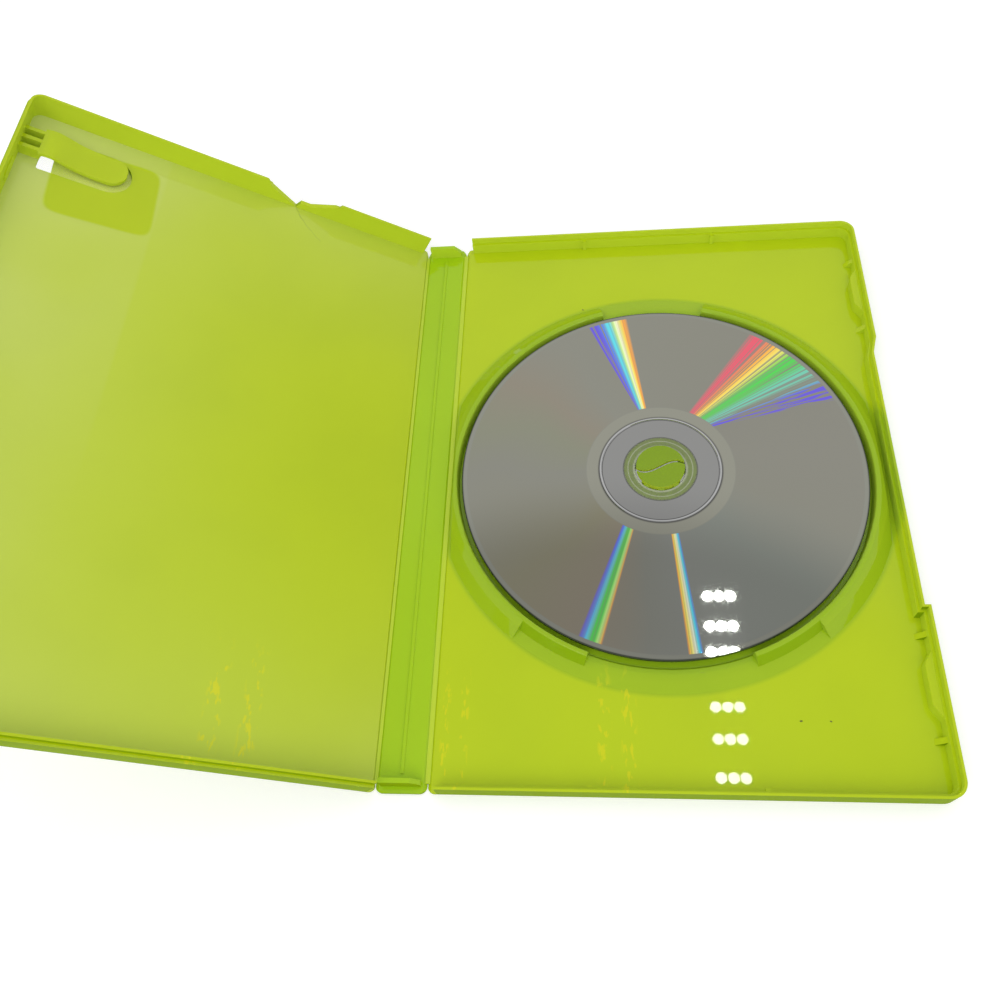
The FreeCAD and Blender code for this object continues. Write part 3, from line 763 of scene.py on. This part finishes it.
class CASE_OT_build_sleeve(bpy.types.Operator):
    """Build the sleeve's three sheets of thin clear film, loose and wavy under the panels"""
    bl_idname = "case.build_sleeve"
    bl_label = "Build sleeve"

    def execute(self, context):
        material = film_material(context.scene.sleeve_finish)
        for name, node, body, place in (("back_film", "sleeve_back", "tray", flat_point),
                                        ("spine_film", "sleeve_spine", "spine", flat_point),
                                        ("front_film", "sleeve_front", "cover", cover_point)):
            piece = film_sheet(name, node, place, context.scene.sleeve_finish, material)
            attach(piece, body)
            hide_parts(node)
        return {"FINISHED"}


class CASE_OT_build_label(bpy.types.Operator):
    """Build the blank paper label that is stuck on the front film"""
    bl_idname = "case.build_label"
    bl_label = "Build label"

    def execute(self, context):
        piece = label_sheet(context.scene.sleeve_finish, label_material(context.scene.sleeve_finish))
        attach(piece, "cover")
        return {"FINISHED"}


WORN_PAPER = (0.55, 0.53, 0.46)
DULL_GLUE = (0.68, 0.78, 0.01)
FIBRE_SCALE = 1400.0
WORN_SCALE = 120.0


def label_material(sleeve):
    """Blank paper with a fibre grain on its face, and dull glue on the side that sticks to the film."""
    material, graph, shader, place = new_material("label_paper")
    fibre = graph.noise(place, FIBRE_SCALE, 4.0, 0.7)
    worn = graph.noise(place, WORN_SCALE, 3.0)
    paper = graph.blend(graph.step(worn, 0.35, 0.7, 0.0, 0.12), sleeve.label_paper, WORN_PAPER)
    glue = graph.blend(graph.step(fibre, 0.3, 0.7, 0.0, 0.3), sleeve.label_glue, DULL_GLUE)
    inner = graph.step(graph.dot(place.node.outputs["Normal"], COVER_OUT), -0.2, 0.2)
    graph.put(shader.inputs["Base Color"], graph.blend(inner, paper, glue))
    graph.put(shader.inputs["Roughness"], graph.step(fibre, 0.2, 0.8, 0.55, 0.8))
    graph.put(shader.inputs["Normal"], graph.bump(fibre, 0.2, 0.02 * MM))
    return material


LABEL_POINTS = 96
LABEL_RINGS = np.array([0.02, 0.35, 0.7, 0.96, 1.0])
LABEL_GAP = 0.15 * MM
LABEL_T = 0.07 * MM
LABEL_BOW = 0.015 * MM


def label_sheet(sleeve, material):
    """Thin sheet with rounded corners under the film, stuck a little askew.

    Its outline is a superellipse of high power, which is a rectangle with round corners. Rings of that
    outline shrink to the middle on both faces, and the sheet bows by a slow wave."""
    turn = np.linspace(0.0, 2.0 * math.pi, LABEL_POINTS, endpoint=False)[None, :]
    share = np.concatenate([LABEL_RINGS, LABEL_RINGS[::-1]])[:, None]
    depth = LABEL_GAP + LABEL_T * np.repeat([0.0, 1.0], len(LABEL_RINGS))[:, None]
    round_sum = np.abs(np.cos(turn)) ** LABEL_POWER + np.abs(np.sin(turn)) ** LABEL_POWER
    out = round_sum ** (-1.0 / LABEL_POWER)
    wide = share * out * np.cos(turn) * sleeve.label_wide / 2.0
    high = share * out * np.sin(turn) * sleeve.label_high / 2.0
    cos, sin = math.cos(sleeve.label_turn), math.sin(sleeve.label_turn)
    along = sleeve.label_along + wide * cos + high * sin
    up = sleeve.label_up + high * cos - wide * sin
    bow = LABEL_BOW * (1.0 + np.sin(260.0 * along + 150.0 * up))
    return closed_piece("cover_label", *swept(cover_point(along, up, -depth - bow)), material)


FILM_PALE = (0.95, 0.97, 0.95)
WRINKLE_SCALE = 90.0
FILM_GRAIN_SCALE = 400.0


def film_material(sleeve):
    """Clear film: hardly there, glossy, with fine wrinkles and a slight cloud."""
    material, graph, shader, place = new_material("sleeve_film")
    wrinkle = graph.noise(place, WRINKLE_SCALE, 3.0, 0.6)
    fine = graph.noise(place, FILM_GRAIN_SCALE)
    graph.put(shader.inputs["Base Color"], graph.blend(wrinkle, sleeve.film_tint, FILM_PALE))
    graph.put(shader.inputs["Roughness"], graph.step(fine, 0.3, 0.7, 0.04, 0.1))
    graph.put(shader.inputs["Normal"], graph.bump(wrinkle, 0.3, 0.3 * MM))
    shader.inputs["Alpha"].default_value = sleeve.film_cover
    return material


def flat_point(along, up, high):
    """Point at a distance along X, up the case, and above the outer face of the panels that lie flat."""
    return np.stack([along + 0 * up, up + 0 * along, TRAY_FOLD.z + high + 0 * up], axis=-1)


def film_reach(node, place):
    """First and last distance of a film node along its panel, and its lowest and highest Y."""
    low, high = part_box(node)
    if place is cover_point:
        first = (COVER_FOLD.x - high.x) / math.cos(COVER_ANGLE)
        return first, (high.z - COVER_FOLD.z) / math.sin(COVER_ANGLE), low.y, high.y
    return low.x, high.x, low.y, high.y


FILM_COLUMNS = 72
FILM_ROWS = 110
FILM_INSET = 0.4 * MM
FILM_GAP = 0.02 * MM
FILM_WAVE = 0.05 * MM
FILM_CREASE = 0.03 * MM
WELD_EASE = 6.0 * MM
# Place, sway, radians of sway per metre up the case, and width: all but the third are shares of the panel
FILM_CREASES = ((0.18, 0.02, 60.0, 0.012), (0.33, 0.03, 45.0, 0.02), (0.71, 0.02, 75.0, 0.015))


def film_sheet(name, node, place, sleeve, material):
    """Thin sheet that hangs a little below its panel, by a sum of slow waves and narrow creases.

    The drop is least at the welded border and grows over a few millimetres. A crease is a bell curve across
    a line that wanders with a sine up the case. The sheet's two faces are one loop of points for each Y."""
    first, last, bottom, top = film_reach(node, place)
    along = np.linspace(first + FILM_INSET, last - FILM_INSET, FILM_COLUMNS)[None, :]
    up = np.linspace(bottom + FILM_INSET, top - FILM_INSET, FILM_ROWS)[:, None]
    across = (along - first) / (last - first)
    wave = 0.5 + 0.25 * np.sin(95.0 * along + 40.0 * up) + 0.25 * np.sin(61.0 * up - 120.0 * along + 1.3)
    crease = 0.0
    for spot, sway, speed, width in FILM_CREASES:
        crease = crease + np.exp(-((across - spot - sway * np.sin(speed * up + 9.0 * spot)) / width) ** 2)
    edge = np.minimum(np.minimum(along - first, last - along), np.minimum(up - bottom, top - up))
    loose = np.clip(edge / WELD_EASE, 0.0, 1.0)
    drop = FILM_GAP + loose * (FILM_WAVE * wave + FILM_CREASE * np.clip(crease, 0.0, 1.0))
    upper = place(along + 0 * up, up + 0 * along, -drop)
    lower = place(along + 0 * up, up + 0 * along, -drop - sleeve.film_t)
    return closed_piece(name, *swept(np.concatenate([upper, lower[:, ::-1]], axis=1)), material)


class CASE_OT_build_fold_webs(bpy.types.Operator):
    """Build the thin web of stretched plastic in the groove of each fold"""
    bl_idname = "case.build_fold_webs"
    bl_label = "Build fold webs"

    def execute(self, context):
        finish = context.scene.moulding_finish
        material = moulded_material("web_lime", finish.web_green)
        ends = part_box("spine")
        folds = (
            ("tray_fold_web", TRAY_FOLD, -MITRE, MITRE, ("spine", "tray")),
            ("cover_fold_web", COVER_FOLD, COVER_ANGLE - MITRE, MITRE, ("cover", "spine")),
        )
        for name, fold, left, right, bodies in folds:
            piece = fold_web(name, fold, left, right, finish.web_reach, ends, material)
            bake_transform(piece)
        return {"FINISHED"}


# Shares of the web's reach
WEB_DIP = 0.22
WEB_ROOT = 0.06
WEB_STEPS = 9
WEB_ROWS = 48
WEB_MARGIN = 2.6 * MM


def fold_web(name, fold, left, right, reach, ends, material):
    """Web in a fold's groove: a sector about the fold line, hollowed on top, carried along the fold.

    The section runs over the top from the left mitre to the right one, at a reach that dips in the middle,
    and back close to the fold line."""
    share = np.linspace(0.0, 1.0, WEB_STEPS)
    angle = left + (right - left) * share
    top = reach * (1.0 - WEB_DIP * np.sin(math.pi * share))
    around = np.concatenate([angle, angle[::-1]])
    out = np.concatenate([top, np.full(WEB_STEPS, WEB_ROOT * reach)])
    y = np.linspace(ends[0].y + WEB_MARGIN, ends[1].y - WEB_MARGIN, WEB_ROWS)
    sections = np.empty((WEB_ROWS, 2 * WEB_STEPS, 3))
    sections[..., 0] = fold.x + out * np.sin(around)
    sections[..., 1] = y[:, None]
    sections[..., 2] = fold.z + out * np.cos(around)
    return closed_piece(name, *swept(sections), material)


# Control points of the crack, in millimetres from the cover's fold and up the case
CRACK_ROUTE = ((49.2, 93.6), (47.4, 88.6), (39.2, 82.4))
CRACK_PALE = (0.40, 0.50, 0.08)
CRACK_GRAIN_SCALE = 700.0
CRACK_ROUGHNESS = (0.4, 0.6)
CRACK_ROWS = 60
CRACK_HIGH = 0.03 * MM
CRACK_SINK = 0.03 * MM
CRACK_SWAY = 0.12 * MM
CRACK_TAPER = 0.6


class CASE_OT_build_crack(bpy.types.Operator):
    """Build the hairline crack that runs from the broken wall into the cover"""
    bl_idname = "case.build_crack"
    bl_label = "Build crack"

    def execute(self, context):
        wear = context.scene.case_wear
        material = grainy_material("crack_line", CRACK_GRAIN_SCALE, 3.0, (wear.crack_green, CRACK_PALE),
                                   CRACK_ROUGHNESS)
        piece = crack_line(wear.crack_width, material)
        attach(piece, "cover")
        return {"FINISHED"}


def crack_line(width, material):
    """Low ridge along a bent line on the cover's inner face, which narrows towards its end.

    The line is a quadratic curve by the route's three control points, with a small wave across it."""
    t = np.linspace(0.0, 1.0, CRACK_ROWS)[:, None]
    first, middle, last = (np.array(point) * MM for point in CRACK_ROUTE)
    line = (1 - t) ** 2 * first + 2 * t * (1 - t) * middle + t ** 2 * last
    ahead = np.gradient(line, axis=0)
    ahead /= np.linalg.norm(ahead, axis=1)[:, None]
    across = np.stack([-ahead[:, 1], ahead[:, 0]], axis=1)
    line = line + across * (CRACK_SWAY * np.sin(23.0 * t))
    half = width / 2.0 * (1.0 - CRACK_TAPER * t)
    flat = np.stack([line - across * half, line, line + across * half, line], axis=1)
    level = PANEL_T + np.array([-CRACK_SINK, CRACK_HIGH, -CRACK_SINK, -CRACK_SINK])
    sections = cover_point(flat[..., 0], flat[..., 1], level[None, :] + 0 * flat[..., 0])
    return closed_piece("cover_crack", *swept(sections), material)


# Place of each speck on the tray in millimetres, and its size
SPECKS = ((32.7, -75.0, 1.0), (40.2, -75.0, 0.8), (-22.8, 65.3, 0.9))
SPECK_PALE = (0.16, 0.20, 0.02)
SPECK_GRAIN_SCALE = 3000.0
SPECK_ROUGHNESS = (0.6, 0.9)
SPECK_RINGS = 5
SPECK_POINTS = 14
SPECK_FLATNESS = 0.35


class CASE_OT_build_specks(bpy.types.Operator):
    """Build the dirt specks on the tray floor"""
    bl_idname = "case.build_specks"
    bl_label = "Build specks"

    def execute(self, context):
        wear = context.scene.case_wear
        material = grainy_material("dirt_specks", SPECK_GRAIN_SCALE, 2.0, (wear.speck_brown, SPECK_PALE),
                                   SPECK_ROUGHNESS)
        piece = speck_domes(wear.speck_r, material)
        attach(piece, "tray")
        return {"FINISHED"}


def speck_domes(radius, material):
    """Uneven low domes: each ring of a dome shrinks as a quarter circle and its outline waves round."""
    lift = np.linspace(0.0, 0.98 * math.pi / 2.0, SPECK_RINGS)[:, None]
    turn = np.linspace(0.0, 2.0 * math.pi, SPECK_POINTS, endpoint=False)[None, :]
    floor_z = TRAY_LOW.z + PANEL_T
    skins, faces = [], []
    for number, (x, y, size) in enumerate(SPECKS):
        uneven = 1.0 + 0.25 * np.sin(2.0 * turn + x) + 0.1 * np.sin(5.0 * turn)
        out = radius * size * np.cos(lift) * uneven
        dome = np.stack([x * MM + out * np.cos(turn), y * MM + out * np.sin(turn),
                         floor_z + radius * size * SPECK_FLATNESS * np.sin(lift) + 0 * turn], axis=-1)
        skin, cells = swept(dome, number * SPECK_RINGS * SPECK_POINTS)
        skins.append(skin)
        faces += cells
    return closed_piece("tray_specks", np.concatenate(skins), faces, material)


class CASE_OT_set_stage(bpy.types.Operator):
    """Set the floor, the lights and the camera"""
    bl_idname = "case.set_stage"
    bl_label = "Set stage"

    def execute(self, context):
        stage = context.scene.stage_settings
        lay_floor(stage)
        light_sky(stage)
        hang_lights(stage)
        place_camera(stage)
        context.scene.view_settings.view_transform = "Standard"
        return {"FINISHED"}


def seen_rays(graph):
    """1 for rays from the camera, from a mirror and through clear plastic, and 0 for light."""
    path = graph.node("ShaderNodeLightPath").outputs
    seen = graph.math("MAXIMUM", path["Is Camera Ray"], path["Is Glossy Ray"])
    return graph.math("MAXIMUM", seen, path["Is Transmission Ray"])


FLOOR_CORNERS = np.array([(-1.0, -1.0, 0.0), (1.0, -1.0, 0.0), (1.0, 1.0, 0.0), (-1.0, 1.0, 0.0)])
FLOOR_HALF = 6.0
FLOOR_DROP = 0.05 * MM
FLOOR_ROUGHNESS = 0.9
CLOUD_SCALE = 3.0
CLOUD_SHADE = 0.98


def lay_floor(stage):
    """Wide pale floor: it takes the shadow, and a share of white keeps it pale.

    The white is only seen, so it is left out of what lights the case."""
    corners = FLOOR_CORNERS * FLOOR_HALF - np.array([0.0, 0.0, FLOOR_DROP])
    material, graph, shader, place = new_material("floor_white")
    material.cycles.emission_sampling = "NONE"
    cloud = graph.noise(place, CLOUD_SCALE)
    shade = tuple(CLOUD_SHADE * value for value in stage.floor_white)
    graph.put(shader.inputs["Base Color"], graph.blend(cloud, stage.floor_white, shade))
    shader.inputs["Roughness"].default_value = FLOOR_ROUGHNESS
    shader.inputs["Specular IOR Level"].default_value = 0.0
    glow = graph.node("ShaderNodeEmission")
    graph.put(glow.inputs["Strength"], graph.math("MULTIPLY", seen_rays(graph), stage.floor_glow))
    both = graph.node("ShaderNodeAddShader")
    graph.put(both.inputs[0], shader.outputs[0])
    graph.put(both.inputs[1], glow.outputs[0])
    graph.put(material.node_tree.nodes["Material Output"].inputs["Surface"], both.outputs[0])
    add_piece("floor", corners, [(0, 1, 2, 3)], material)


# Heights on the sky, from 0 at the horizon to 1 overhead
WALL_TOP = 0.862
EDGE_FROM = 0.905
EDGE_TO = 0.935
CEILING_FROM = 0.965
EDGE_SHADE = 0.9


def light_sky(stage):
    """Even light from all round, white where seen, greyer overhead, with a darker edge to the ceiling."""
    world = bpy.data.worlds.new("studio_sky")
    world.use_nodes = True
    graph = Graph(world.node_tree)
    back = world.node_tree.nodes["Background"]
    height = graph.split(graph.node("ShaderNodeTexCoord").outputs["Generated"])[2]
    white = (1.0, 1.0, 1.0)
    ceiling = (stage.ceiling_grey,) * 3
    edge = (EDGE_SHADE * stage.ceiling_grey,) * 3
    stops = ((0.0, white), (WALL_TOP, white), (EDGE_FROM, edge), (EDGE_TO, edge), (CEILING_FROM, ceiling))
    graph.put(back.inputs["Color"], graph.ramp(height, stops, "EASE"))
    graph.put(back.inputs["Strength"], graph.step(seen_rays(graph), 0.0, 1.0, stage.sky, 1.0, "LINEAR"))
    bpy.context.scene.world = world


# Places and sizes of the lights, in metres
LAMP_ROWS = (0.793, 0.710, 0.640, 0.501, 0.422, 0.330)
LAMP_COLUMNS = (0.262, 0.291, 0.320)
LAMP_HEIGHT = 2.0
LAMP_SIZE = (0.027, 0.027)
KEY_PLACE = Vector((-0.15, -0.75, 1.1))
KEY_TARGET = Vector((-0.05, 0.0, 0.0))
KEY_SIZE = (1.2, 0.9)


def hang_lights(stage):
    """A wide soft light overhead and rows of small ceiling lamps."""
    add_light("key_light", KEY_PLACE, KEY_TARGET, KEY_SIZE, stage.key_power)
    for row, y in enumerate(LAMP_ROWS):
        for column, x in enumerate(LAMP_COLUMNS):
            place = Vector((x, y, LAMP_HEIGHT))
            below = Vector((x, y, 0.0))
            add_light(f"lamp_{row}_{column}", place, below, LAMP_SIZE, stage.lamp_power, "DISK")


def add_light(name, place, target, size, power, shape="RECTANGLE"):
    """Soft light of one shape and size at a place, turned to a target."""
    lamp = bpy.data.lights.new(name, "AREA")
    lamp.shape = shape
    lamp.size, lamp.size_y = size
    lamp.energy = power
    made = bpy.data.objects.new(name, lamp)
    made.matrix_world = Matrix.LocRotScale(place, (target - place).to_track_quat("-Z", "Y"), None)
    bpy.context.scene.collection.objects.link(made)


SENSOR_WIDTH = 36.0
NEAR_CLIP = 0.01
FAR_CLIP = 50.0


def place_camera(stage):
    """Camera round the aim by azimuth, elevation and roll, at its distance."""
    azimuth, elevation, roll = stage.azimuth, stage.elevation, stage.roll
    back = Vector((math.sin(azimuth) * math.cos(elevation), -math.cos(azimuth) * math.cos(elevation),
                   math.sin(elevation)))
    right = Vector((math.cos(azimuth), math.sin(azimuth), 0.0))
    up = back.cross(right)
    side = math.cos(roll) * right + math.sin(roll) * up
    head = math.cos(roll) * up - math.sin(roll) * right
    lens = bpy.data.cameras.new("photo_camera")
    lens.sensor_width = SENSOR_WIDTH
    lens.lens = stage.lens
    lens.clip_start = NEAR_CLIP
    lens.clip_end = FAR_CLIP
    camera = bpy.data.objects.new("photo_camera", lens)
    spot = Vector(stage.aim) + back * stage.distance
    camera.matrix_world = Matrix((side, head, back)).transposed().to_4x4()
    camera.matrix_world.translation = spot
    bpy.context.scene.collection.objects.link(camera)
    bpy.context.scene.camera = camera


SETTINGS = {
    "moulding_finish": MouldingFinish,
    "disc_finish": DiscFinish,
    "sleeve_finish": SleeveFinish,
    "case_wear": CaseWear,
    "stage_settings": StageSettings,
}
OPERATORS = (CASE_OT_dress_moulding, CASE_OT_dress_disc, CASE_OT_build_sleeve, CASE_OT_build_label,
             CASE_OT_build_fold_webs, CASE_OT_build_crack, CASE_OT_build_specks, CASE_OT_set_stage)


class CASE_PT_sidebar(bpy.types.Panel):
    """Buttons and settings of the disc case"""
    bl_label = "Disc case"
    bl_space_type = "VIEW_3D"
    bl_region_type = "UI"
    bl_category = "Disc case"

    def draw(self, context):
        for operator in OPERATORS:
            self.layout.operator(operator.bl_idname)
        for name, group in SETTINGS.items():
            box = self.layout.box()
            for prop in group.__annotations__:
                box.prop(getattr(context.scene, name), prop)


def register():
    """Registers the settings, the operators and the panel."""
    for name, group in SETTINGS.items():
        bpy.utils.register_class(group)
        setattr(bpy.types.Scene, name, bpy.props.PointerProperty(type=group))
    for item in (*OPERATORS, CASE_PT_sidebar):
        bpy.utils.register_class(item)


def unregister():
    """Takes back what register added."""
    for item in (CASE_PT_sidebar, *reversed(OPERATORS)):
        bpy.utils.unregister_class(item)
    for name, group in SETTINGS.items():
        delattr(bpy.types.Scene, name)
        bpy.utils.unregister_class(group)


def main():
    """Builds all the pieces in order."""
    register()
    bpy.ops.case.dress_moulding()
    bpy.ops.case.dress_disc()
    bpy.ops.case.build_sleeve()
    bpy.ops.case.build_label()
    bpy.ops.case.build_fold_webs()
    bpy.ops.case.build_crack()
    bpy.ops.case.build_specks()
    bpy.ops.case.set_stage()


if __name__ == "__main__":
    main()
